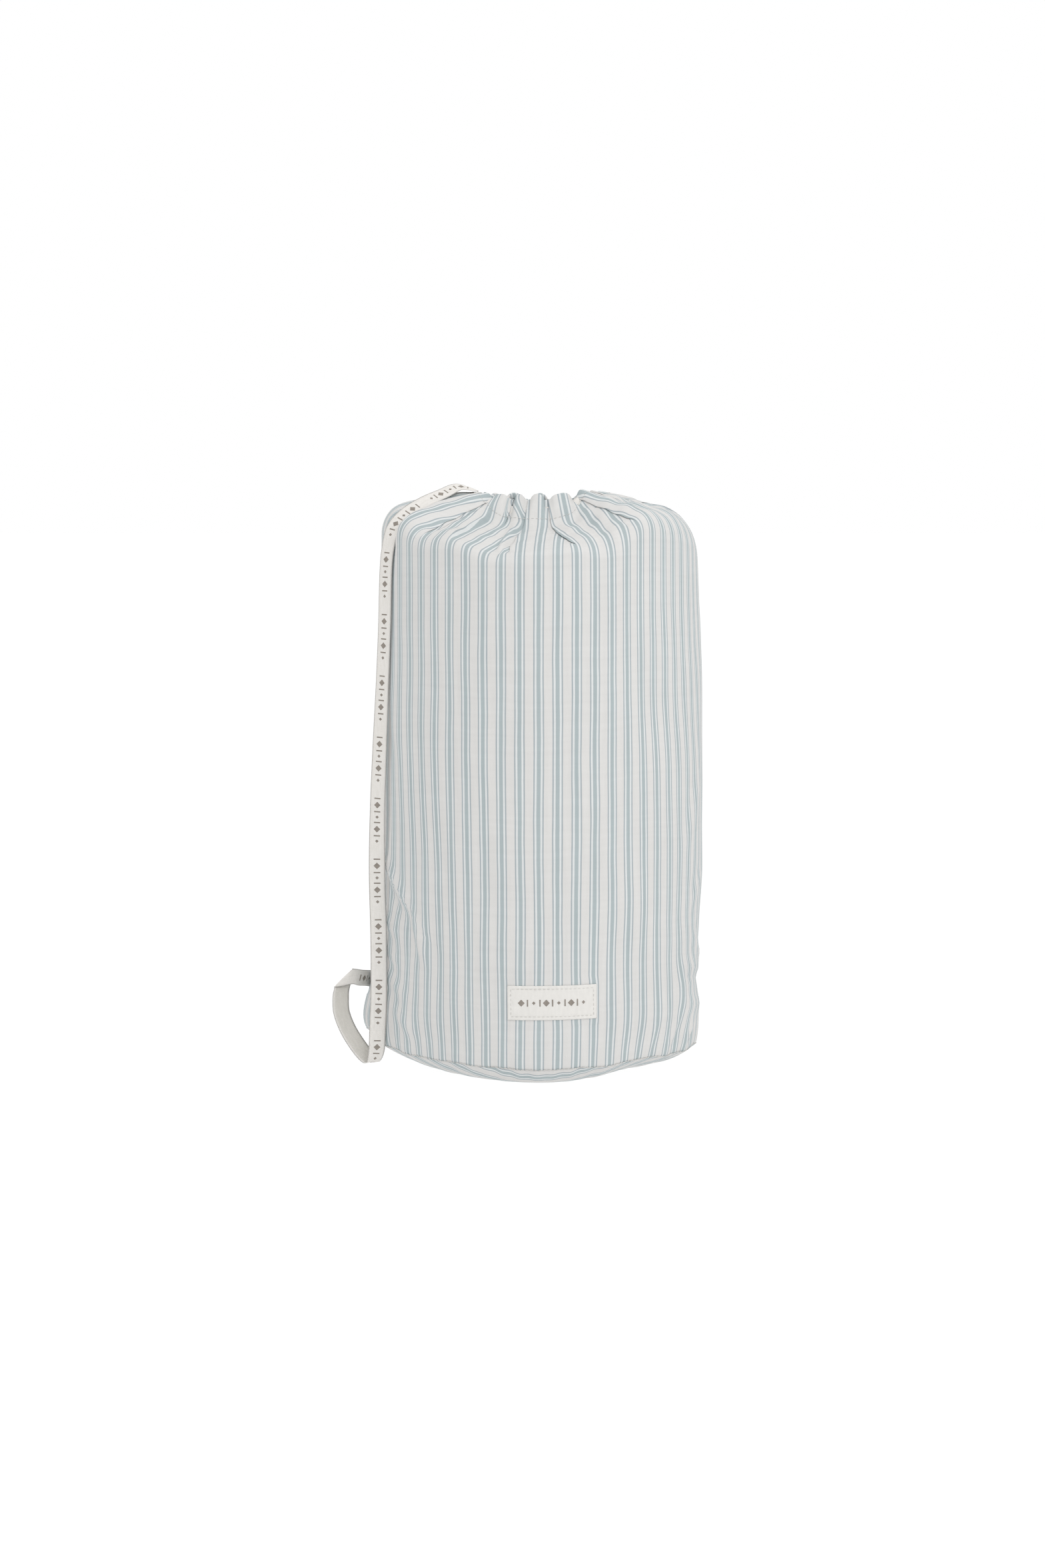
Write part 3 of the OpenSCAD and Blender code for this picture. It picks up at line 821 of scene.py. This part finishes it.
# Route of the tape along the middle of its width, each point with the direction across the tape. Where it is
# folded over on a slant, the direction across has a length and the way the printed side faces is given too.
TAPE_ROUTE = (
    ((-0.050, -0.009, 0.447), (0.2, -0.97, -0.1)),
    ((-0.057, -0.009, 0.449), (0.3, -0.9, -0.25)),
    ((-0.066, -0.010, 0.450), (0.4, -0.8, -0.4)),
    ((-0.0765, -0.016, 0.4452), (0.45, -0.72, -0.5)),
    ((-0.0905, -0.026, 0.4385), (0.45, -0.65, -0.6)),
    ((-0.1045, -0.036, 0.4295), (0.5, -0.6, -0.6)),
    ((-0.1140, -0.042, 0.419), (0.65, -0.6, -0.45)),
    ((-0.1182, -0.044, 0.404), (0.75, -0.62, -0.2)),
    ((-0.1202, -0.0445, 0.384), (0.77, -0.64, 0)),
    ((-0.1213, -0.0440, 0.344), (0.78, -0.62, 0)),
    ((-0.1232, -0.0430, 0.300), (0.8, -0.6, 0)),
    ((-0.1255, -0.0430, 0.250), (0.88, -0.48, 0)),
    ((-0.1275, -0.0425, 0.200), (0.93, -0.37, 0)),
    ((-0.128, -0.0425, 0.150), (1, -0.1, 0)),
    ((-0.127, -0.0425, 0.100), (1, -0.05, 0)),
    ((-0.127, -0.0440, 0.060), (1, 0, 0)),
    ((-0.128, -0.045, 0.032), (1, 0.1, 0)),
    ((-0.129, -0.044, 0.013), (0.95, 0.25, 0)),
    ((-0.132, -0.041, 0.003), (0.9, 0.35, 0.1)),
    ((-0.137, -0.037, 0.006), (0.85, 0.35, 0.35)),
    ((-0.1445, -0.031, 0.014), (0.75, 0.25, 0.6)),
    ((-0.1525, -0.023, 0.025), (0.85, 0.2, 0.45)),
    ((-0.1580, -0.015, 0.037), (0.95, 0.15, 0.2)),
    ((-0.1590, -0.0090, 0.0480), (1, 0, 0)),
    ((-0.1580, -0.0066, 0.0560), (0.96, 0, 0.02), (0, 1, 0)),
    ((-0.1567, -0.0063, 0.0622), (1.06, 0, 1.02), (-0.30, 0.90, 0.31)),
    ((-0.1570, -0.0070, 0.0630), (1.08, 0, 1.06), (-0.68, 0, 0.73)),
    ((-0.1565, -0.0077, 0.0625), (1.06, 0, 1.02), (-0.30, -0.90, 0.31)),
    ((-0.1500, -0.0086, 0.0648), (0.12, 0, 0.98), (0, -1, 0)),
    ((-0.1430, -0.005, 0.0632), (0.20, 0, 0.98)),
    ((-0.1370, 0.009, 0.0605), (0.2, 0.1, 0.96)),
    ((-0.134, 0.021, 0.057), (-0.3, 0.1, 0.95)),
    ((-0.132, 0.033, 0.056), (-0.8, -0.2, 0.6)),
    ((-0.131, 0.044, 0.059), (-0.95, -0.2, 0.1)),
    ((-0.130, 0.051, 0.071), (-0.95, -0.25, 0)),
    ((-0.128, 0.055, 0.095), (-0.9, -0.4, 0)),
    ((-0.126, 0.057, 0.135), (-0.75, -0.65, 0)),
    ((-0.124, 0.058, 0.185), (-0.55, -0.85, 0)),
    ((-0.123, 0.058, 0.235), (-0.42, -0.9, 0)),
    ((-0.123, 0.058, 0.285), (-0.42, -0.9, 0)),
    ((-0.122, 0.058, 0.335), (-0.42, -0.9, 0)),
    ((-0.120, 0.057, 0.375), (-0.42, -0.9, 0)),
    ((-0.117, 0.055, 0.403), (-0.42, -0.9, 0)),
    ((-0.110, 0.051, 0.422), (-0.44, -0.9, 0)),
    ((-0.097, 0.043, 0.437), (-0.5, -0.86, 0)),
    ((-0.080, 0.030, 0.445), (-0.55, -0.84, 0)),
    ((-0.066, 0.017, 0.449), (-0.45, -0.9, 0)),
    ((-0.057, 0.010, 0.449), (-0.25, -0.97, 0)),
    ((-0.050, 0.009, 0.447), (-0.1, -0.99, 0)),
)
TAPE_STEPS = 10


def spline(points, u):
    """Uniform Catmull-Rom curve through points, read at u, where whole numbers are the points."""
    last = len(points) - 1
    i = np.minimum(np.floor(u).astype(int), last - 1)
    t = (u - i)[:, None]
    a, b, c, d = (points[np.clip(i + o, 0, last)] for o in (-1, 0, 1, 2))
    return 0.5 * (2 * b + (c - a) * t + (2 * a - 5 * b + 4 * c - d) * t**2 + (3 * b - a - 3 * c + d) * t**3)


def ribbon_frame(route, steps):
    """Centre points, half-width and face directions, and lengths so far, of a ribbon that follows a route."""
    points = np.array([r[0] for r in route], float)
    widths = np.array([r[1] for r in route], float)
    square = np.array([[float(len(r) == 2)] for r in route])
    key_tangent = unit(np.gradient(points, axis=0))
    squared = unit(widths - key_tangent * np.sum(widths * key_tangent, axis=1, keepdims=True))
    widths = np.where(square > 0, squared, widths)
    square_faces = np.cross(key_tangent, widths)
    faces = np.array([r[2] if len(r) == 3 else face for r, face in zip(route, square_faces)], float)
    u = np.linspace(0, len(route) - 1, (len(route) - 1) * steps + 1)
    centre, across, face = spline(points, u), spline(widths, u), spline(faces, u)
    size = np.clip(spline(np.linalg.norm(widths, axis=1, keepdims=True), u), 0.9, 1.6)
    share = np.interp(u, np.arange(len(route)), square[:, 0])[:, None]
    tangent = unit(np.gradient(centre, axis=0))
    across = unit(across - share * tangent * np.sum(across * tangent, axis=1, keepdims=True))
    face = share * np.cross(tangent, across) + (1 - share) * unit(face)
    face = unit(face - across * np.sum(face * across, axis=1, keepdims=True))
    return centre, across * size, face, length_so_far(centre)


def ribbon_mesh(name, centre, across, face, run, width):
    """Closed ribbon of tape with rounded woven edges; its middle stands a little proud of its edges."""
    w = np.linspace(-0.5, 0.5, 9)
    top = [(x, 0.5 * (1 - (abs(2 * x)) ** 8)) for x in w]
    bottom = [(x, -0.5 * (1 - (abs(2 * x)) ** 8)) for x in w[::-1][1:-1]]
    ring = np.array(top + bottom)
    sides = len(ring)
    rise = TAPE_CROWN * (1 - (2 * ring[:, 0]) ** 2)
    xyz = (
        centre[:, None]
        + across[:, None] * (ring[:, 0] * width)[None, :, None]
        + face[:, None] * (ring[:, 1] * TAPE_T + rise)[None, :, None]
    )
    # The reverse side's cloth coordinates are moved along by one width, into the part of the tape colour that
    # holds painted shade.
    u = (ring[:, 0] + 0.5) * width + np.where(ring[:, 1] < -0.4, width, 0.0)
    faces, loops = grid_faces(grid_uv(u, run), closed=True)
    faces.append(tuple(reversed(range(sides))))
    faces.append(tuple((len(centre) - 1) * sides + s for s in range(sides)))
    loops += [(u[s], run[0]) for s in reversed(range(sides))] + [(u[s], run[-1]) for s in range(sides)]
    return add_mesh(name, xyz.reshape(-1, 3), faces, tape_cloth, np.array(loops))


tape_centre, tape_across, tape_face, tape_run = ribbon_frame(TAPE_ROUTE, TAPE_STEPS)
tape = ribbon_mesh("drawstring_tape", tape_centre, tape_across, tape_face, tape_run, TAPE_W)


def on_ribbon(s, w, lift):
    """Points on the printed side of the tape, at length s, place w across it and height lift above it."""
    c, a, f = (read_rows(s, tape_run, rows) for rows in (tape_centre, tape_across, tape_face))
    rise = TAPE_T / 2 + TAPE_CROWN * (1 - (2 * w / TAPE_W) ** 2) + lift
    return c + a * w[..., None] + f * rise[..., None]


# Outlines (along, across) of the marks of the generic motif, in metres.
DIAMOND = ((-0.0026, 0), (0, -0.0027), (0.0026, 0), (0, 0.0027))
SMALL_DIAMOND = ((-0.0013, 0), (0, -0.0014), (0.0013, 0), (0, 0.0014))
BAR = ((-0.00050, -0.0026), (0.00050, -0.0026), (0.00050, 0.0026), (-0.00050, 0.0026))


def motif_mesh(name, marks, to_surface):
    """Flat printed marks, each (centre, outline); to_surface turns places along and across into points."""
    points, faces, loops = [], [], []
    for centre_s, outline in marks:
        outline = np.array(outline)
        middle = outline.mean(0)
        dense = []
        for size in (0.5, 1.0):
            ring = middle + (outline - middle) * size
            for a, b in zip(ring, np.roll(ring, -1, axis=0)):
                dense += [a + (b - a) * t for t in (0, 0.34, 0.67)]
        flat = np.array([middle, *dense]) + np.array([centre_s, 0])
        base = len(points)
        points += list(to_surface(flat[:, 0], flat[:, 1]))
        m = len(dense) // 2
        for i in range(m):
            j = (i + 1) % m
            for corners in ((0, 1 + i, 1 + j), (1 + i, 1 + m + i, 1 + m + j, 1 + j)):
                faces.append(tuple(base + corner for corner in corners))
                loops += [flat[corner] for corner in corners]
    return add_mesh(name, points, faces, print_thread, np.array(loops))


MOTIF_REPEAT = 0.0475
MOTIF_ROW = (
    (0.0000, BAR), (0.0052, DIAMOND), (0.0104, BAR), (0.0146, SMALL_DIAMOND),
    (0.0188, BAR), (0.0240, DIAMOND), (0.0292, BAR), (0.0334, SMALL_DIAMOND),
)
fold_keys = [i for i, r in enumerate(TAPE_ROUTE) if len(r) == 3]
fold_run = [tape_run[i * TAPE_STEPS] for i in (fold_keys[0], fold_keys[-1])]
tape_marks = [
    (start + place, shape)
    for start in np.arange(0.008, tape_run[-1] - 0.04, MOTIF_REPEAT)
    for place, shape in MOTIF_ROW
    if not fold_run[0] - 0.003 < start + place < fold_run[1] + 0.003
]
tape_print = motif_mesh("tape_motif", tape_marks, lambda s, w: on_ribbon(s, w, np.full_like(s, 0.00004)))


# ---------------------------------------------------------------- the bag


GROOVE_FLAT, GROOVE_EDGE, GROOVE_GAP = 0.0068, 0.0115, 0.0014
GROOVE_REACH, GROOVE_MOST = 0.016, 0.012
INSIDE_BAG = np.array([0, 0, 0.20])


def press_under_tape(xyz):
    """Lowers the cloth where the tape lies on it, so that the tape rests in a shallow groove."""
    tree = KDTree(len(tape_centre))
    for i, c in enumerate(tape_centre):
        tree.insert(c, i)
    tree.balance()
    flat = xyz.reshape(-1, 3)
    near = np.where((flat[:, 0] < -0.045) & (flat[:, 2] > 0.02))[0]
    for index in near:
        p = flat[index]
        _, i, gap = tree.find(p)
        if gap > GROOVE_REACH:
            continue
        face = tape_face[i]
        if face @ (tape_centre[i] - INSIDE_BAG) < 0:
            face = -face
        offset = p - tape_centre[i]
        side = abs(offset @ tape_across[i]) / np.linalg.norm(tape_across[i])
        height = offset @ face
        if side > GROOVE_EDGE or height > GROOVE_MOST:
            continue
        need = height + GROOVE_GAP
        if need > 0:
            flat[index] = p - face * need * (1 - smoothstep(side, GROOVE_FLAT, GROOVE_EDGE))
    return flat.reshape(xyz.shape)


cloth_xyz, cloth_uv, cloth_section = build_cloth()
cloth_xyz = press_under_tape(cloth_xyz)
bag_cloth = grid_mesh("bag_cloth", cloth_xyz, cloth_uv, ticking, closed=True, uv_span=GIRTH)
thicken(bag_cloth, CLOTH_T)


# Radius at which the base leaves the floor, by angle: the filled base rests on its middle and its front edge.
BASE_REST = (
    (-90, 0.086), (-60, 0.086), (-30, 0.098), (-14, 0.105), (0, 0.108), (13, 0.101), (30, 0.080), (46, 0.064),
    (60, 0.074), (75, 0.088), (90, 0.096), (135, 0.096), (180, 0.100), (-135, 0.094),
)
BASE_RISE = 2.2
BASE_Z = 0.0002
BASE_STRIPE_SHIFT = 0.004


def base_cloth_mesh():
    """Round base: flat on the floor in the middle, then rising in a shallow curve to the seam."""
    deg = np.arange(0, 360, 1.0)
    rest = around(BASE_REST, deg)
    seam_z = seam_height(deg)
    seam_r = wall_radius(deg, seam_z) - 0.0001
    profile = []
    for t in np.linspace(0.02, 1, 24)[:-1]:
        profile.append(np.stack([rest * t, np.full_like(deg, BASE_Z)], -1))
    for t in np.linspace(0, 1, 26):
        r = rest + (seam_r - rest) * t
        z = BASE_Z + (seam_z + BASE_Z) * t**BASE_RISE
        pucker = t * t * (1 - t) * 4
        z = z + 0.0005 * pucker * waves(deg, deg * 0, 43, 16, 40, 1.0, 9)
        profile.append(np.stack([r, np.maximum(z, BASE_Z)], -1))
    profile = np.array(profile)
    steps = np.linalg.norm(np.diff(profile, axis=0), axis=-1)
    run = np.concatenate([profile[:1, :, 0], profile[:1, :, 0] + np.cumsum(steps, axis=0)])
    xyz = turned(deg, profile[..., 0], profile[..., 1])[:, ::-1]
    a = np.radians(deg)
    uv = np.stack([-run * np.cos(a) + BASE_STRIPE_SHIFT, run * np.sin(a)], -1)[:, ::-1]
    faces, loops = grid_faces(uv, closed=True)
    faces.append(tuple(reversed(range(len(deg)))))
    loops += list(uv[0, ::-1])
    obj = add_mesh("base_cloth", xyz.reshape(-1, 3), faces, ticking, np.array(loops))
    return thicken(obj, CLOTH_T)


base_cloth = base_cloth_mesh()

ring_deg = np.arange(-180, 180, 1.0)


def on_wall(deg, z, lift):
    """Points on the outer face of the standing cloth."""
    r = wall_radius(deg, z) + lift
    return turned(deg, r, np.broadcast_to(z, r.shape))


def outward(deg):
    return turned(deg, 1.0, np.zeros(np.shape(deg)))


seam_line = on_wall(ring_deg, seam_height(ring_deg) + 0.0006, 0.0002)
seam_paths = stitch_paths(seam_line, outward(ring_deg), length=0.0026, gap=0.0008, lift=0.0002)
base_stitches = tubes("base_seam_stitches", seam_paths, THREAD_R, thread)


def seam_ring(name, inner, outer, material, thickness):
    """Flat ring of cloth edge inside the bag that follows the base seam."""
    deg = np.arange(-180, 180, 1.5)
    wall = wall_radius(deg, seam_height(deg) + 0.004)
    rows = []
    for t in np.linspace(0, 1, 7):
        r = wall - outer + (outer - inner) * t
        z = seam_height(deg) + 0.0010 + 0.0004 * (1 - t) * waves(deg, deg * 0, 51, 18, 36, 1.0)
        rows.append(turned(deg, r, z))
    uv = grid_uv(np.radians(deg) * BAG_R, np.linspace(0, 0.01, 7))
    obj = grid_mesh(name, np.array(rows), uv, material, closed=True, uv_span=GIRTH)
    return thicken(obj, thickness, offset=0)


base_allowance = seam_ring("base_seam_allowance_cloth", 0.0012, 0.0100, ticking, 0.0008)
base_binding = seam_ring("base_seam_binding_cloth", 0.0055, 0.0115, binding_cloth, 0.0022)


# ---------------------------------------------------------------- the label


def label_point(across, up, lift):
    """Points on the label, from places across and up from its middle, in metres."""
    x = across * math.cos(LABEL_TILT) + up * math.sin(LABEL_TILT)
    z = LABEL_Z + up * math.cos(LABEL_TILT) - across * math.sin(LABEL_TILT)
    deg = LABEL_TURN + np.degrees(x / BAG_R)
    return on_wall(deg, z, lift)


def label_mesh():
    """Label with soft rounded edges, slightly raised in the middle and pulled down at its stitching."""
    across = np.linspace(-LABEL_W / 2, LABEL_W / 2, 68)
    up = np.linspace(-LABEL_H / 2, LABEL_H / 2, 28)
    gx, gz = np.meshgrid(across, up)
    edge = np.minimum(LABEL_W / 2 - np.abs(gx), LABEL_H / 2 - np.abs(gz))
    lift = LABEL_T * (0.75 + 0.25 * smoothstep(edge, 0, 0.0008))
    lift = lift - 0.00030 * np.exp(-(((edge - LABEL_INSET) / 0.0007) ** 2))
    lift = lift + 0.00012 * waves(gx * 800, gz, 61, 2, 9, 0.02)
    obj = grid_mesh("sewn_label", label_point(gx, gz, lift), grid_uv(across, up), label_cloth, closed=False)
    return thicken(obj, LABEL_T * 0.8)


def label_stitch_paths():
    """Stitches along the four sides of the label, LABEL_INSET in from its edge."""
    hx, hz = LABEL_W / 2 - LABEL_INSET, LABEL_H / 2 - LABEL_INSET
    corners = [(-hx, -hz), (hx, -hz), (hx, hz), (-hx, hz), (-hx, -hz)]
    paths = []
    for (ax, az), (bx, bz) in zip(corners[:-1], corners[1:]):
        t = np.linspace(0, 1, 40)
        gx, gz = ax + (bx - ax) * t, az + (bz - az) * t
        line = label_point(gx, gz, np.full_like(gx, LABEL_T * 0.72))
        normals = outward(LABEL_TURN + np.degrees(gx / BAG_R))
        paths += stitch_paths(line, normals, 0.0024, 0.0009, 0.00022, closed=False)
    return paths


label = label_mesh()
label_stitches = tubes("label_stitches", label_stitch_paths(), FINE_THREAD_R, thread)
label_marks = []
for i, place in enumerate(np.linspace(-0.0235, 0.0235, 11)):
    label_marks.append((place, (DIAMOND, BAR, SMALL_DIAMOND, BAR)[i % 4]))
label_print = motif_mesh(
    "label_motif", label_marks, lambda s, w: label_point(s, w, np.full_like(s, LABEL_T + 0.00012))
)


# ---------------------------------------------------------------- casing, exits and inner seam

casing_row = BODY_ROWS + sum(UPPER_ROWS[:4]) - 1
visible = np.where(cloth_section < 0)[0]
casing_line = cloth_xyz[casing_row][visible]
row_up = cloth_xyz[casing_row + 1][visible] - cloth_xyz[casing_row - 1][visible]
row_side = np.roll(casing_line, -1, axis=0) - np.roll(casing_line, 1, axis=0)
casing_paths = stitch_paths(casing_line, unit(np.cross(row_side, row_up)), 0.0026, 0.0009, lift=0.0002)
casing_stitches = tubes("casing_stitches", casing_paths, FINE_THREAD_R, thread)


def casing_tape_mesh():
    """The stretch of tape inside the casing, between the gathered cloth and its hem."""
    deg = np.arange(-180, 180, 2.0)
    prof = upper_profile(deg)
    first = sum(UPPER_ROWS[:3]) + 3
    low, high = prof[first], prof[-3]
    tangent = unit(high - low)
    normal = np.stack([tangent[:, 1], -tangent[:, 0]], -1)
    middle = (low + high) / 2 - normal * 0.0021
    half = np.minimum(TAPE_W / 2, np.linalg.norm(high - low, axis=-1) / 2)[:, None]
    rows = []
    for w in np.linspace(-1, 1, 7):
        p = middle + tangent * half * w
        rows.append(turned(deg, p[:, 0], p[:, 1]))
    uv = grid_uv(np.radians(deg) * 0.055, np.linspace(0, TAPE_W, 7))[..., ::-1]
    obj = grid_mesh("tape_inside_casing", np.array(rows), uv, tape_cloth, closed=True)
    return thicken(obj, TAPE_T, offset=0)


casing_tape = casing_tape_mesh()


def buttonhole(side):
    """Dense ring of thread round the slot where the tape leaves the casing."""
    half_w, half_t, thread_run = TAPE_W / 2 + 0.0012, 0.0014, 0.0016
    paths = []
    for a in 2 * math.pi * np.arange(64) / 64:
        ca, sa = math.cos(a), math.sin(a)
        stretch = (abs(ca) ** 4 + abs(sa) ** 4) ** -0.25
        path = []
        for t, up in ((0, 0.0), (0.25, 0.0004), (0.75, 0.0004), (1, 0.0)):
            x, y = ((half + thread_run * t) * c * stretch for half, c in ((half_t, ca), (half_w, sa)))
            path.append((EXIT_X + x, side * EXIT_Y + y, EXIT_Z - 0.0016 + up))
        paths.append(path)
    return paths


buttonholes = tubes("exit_buttonhole_threads", buttonhole(-1) + buttonhole(1), BUTTONHOLE_THREAD_R, thread, 5)

# Inner side seam: a pressed-open allowance, its overlock zigzag and its stitching, on the left of the bag.
SEAM_DEG = -90.0
ALLOWANCE = 0.010
seam_z = np.linspace(0.030, 0.372, 90)
inner_wall = wall_radius(SEAM_DEG, seam_z) - 0.0008


def at_side_seam(inward, aside, z):
    """Points beside the inner side seam: how far in from the wall, and how far towards the front."""
    wall = np.interp(z, seam_z, inner_wall)
    return np.stack([-(wall - inward), -aside + 0 * z, z], -1)


def side_allowance_mesh():
    ripple = 0.0012 * waves(seam_z * 900, seam_z, 71, 1, 5, 0.08)
    rows = [at_side_seam(t * ALLOWANCE, ripple * t, seam_z) for t in np.linspace(0, 1, 6)]
    uv = grid_uv(seam_z, np.linspace(0, ALLOWANCE, 6))[..., ::-1]
    obj = grid_mesh("side_seam_allowance_cloth", np.array(rows), uv, ticking, closed=False)
    return thicken(obj, 0.0009, offset=0)


def overlock_paths():
    """Two threads that zigzag over the raw edges, half a stitch apart, one on each side."""
    z = np.arange(0.032, 0.370, 0.0011)
    step = np.arange(len(z))
    sides = enumerate((0.0007, -0.0007))
    return [at_side_seam(0.0082 + 0.0020 * ((step + i) % 2), aside, z) for i, aside in sides]


side_allowance = side_allowance_mesh()
overlock = tubes("side_seam_overlock_threads", overlock_paths(), OVERLOCK_THREAD_R, thread, sides=5)
side_line = at_side_seam(0.0016, 0.0006, seam_z)
towards_front = np.tile([0, -1.0, 0], (len(seam_z), 1))
side_paths = stitch_paths(side_line, towards_front, 0.0024, 0.0006, 0.0002, closed=False)
side_stitches = tubes("side_seam_stitches", side_paths, THREAD_R, thread, sides=5)

# Overlapped ends of the tape, sewn together behind the bag.
JOIN_HALF, TACK_OFFSET, TACK_TURNS = 0.015, 0.010, 18
join_index = int(np.argmin(np.where(tape_centre[:, 1] > 0, np.abs(tape_centre[:, 2] - JOIN_Z), 9)))
near_join = np.abs(tape_run - tape_run[join_index]) <= JOIN_HALF
join_across, join_face = tape_across[near_join], tape_face[near_join]
join_centre = tape_centre[near_join] - join_face * (TAPE_T + 0.0003)
tape_join = ribbon_mesh(
    "tape_join_overlap", join_centre, join_across, join_face, tape_run[near_join], TAPE_W * 0.98
)


def bar_tack(place):
    """Thread that zigzags along the tape's length while it works its way across it."""
    paths = []
    for i in range(TACK_TURNS):
        w = -TAPE_W * 0.40 + TAPE_W * 0.80 * (i + np.array([0.0, 0.3, 0.7, 1.0])) / TACK_TURNS
        s = place + np.array([-0.0012, -0.0004, 0.0004, 0.0012]) * (1 if i % 2 else -1)
        paths.append(on_ribbon(s, w, np.array([0.0, 0.00025, 0.00025, 0.0])))
    return paths


tack_paths = bar_tack(tape_run[join_index] - TACK_OFFSET) + bar_tack(tape_run[join_index] + TACK_OFFSET)
join_tacks = tubes("tape_join_bar_tacks", tack_paths, THREAD_R, thread, sides=5)


# ---------------------------------------------------------------- what each piece follows and stands for

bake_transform(bag_cloth)
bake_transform(casing_stitches)
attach(base_cloth, "bag")
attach(base_stitches, "bag")
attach(base_allowance, "bag")
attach(base_binding, "bag")
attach(label, "bag")
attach(label_stitches, "bag")
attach(label_print, "bag")
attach(side_allowance, "bag")
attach(overlock, "bag")
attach(side_stitches, "bag")
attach(casing_tape, "neck")
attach(buttonholes, "neck")
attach(tape, "tape")
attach(tape_print, "tape")
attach(tape_join, "tape")
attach(join_tacks, "tape")

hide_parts("body_panel", "shoulder_gathers", "gathered_neck", "casing_hem")
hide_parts("base_panel")
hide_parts("base_seam_stitching")
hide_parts("base_seam_allowance")
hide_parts("base_seam_binding")
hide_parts("label_patch")
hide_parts("label_stitching")
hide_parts("side_seam_allowance")
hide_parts("side_seam_overlock")
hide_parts("side_seam_stitching")
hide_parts("casing_stitching")
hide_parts("tape_in_casing")
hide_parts("exit_buttonholes")
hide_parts("tape_loop")
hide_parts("tape_join")
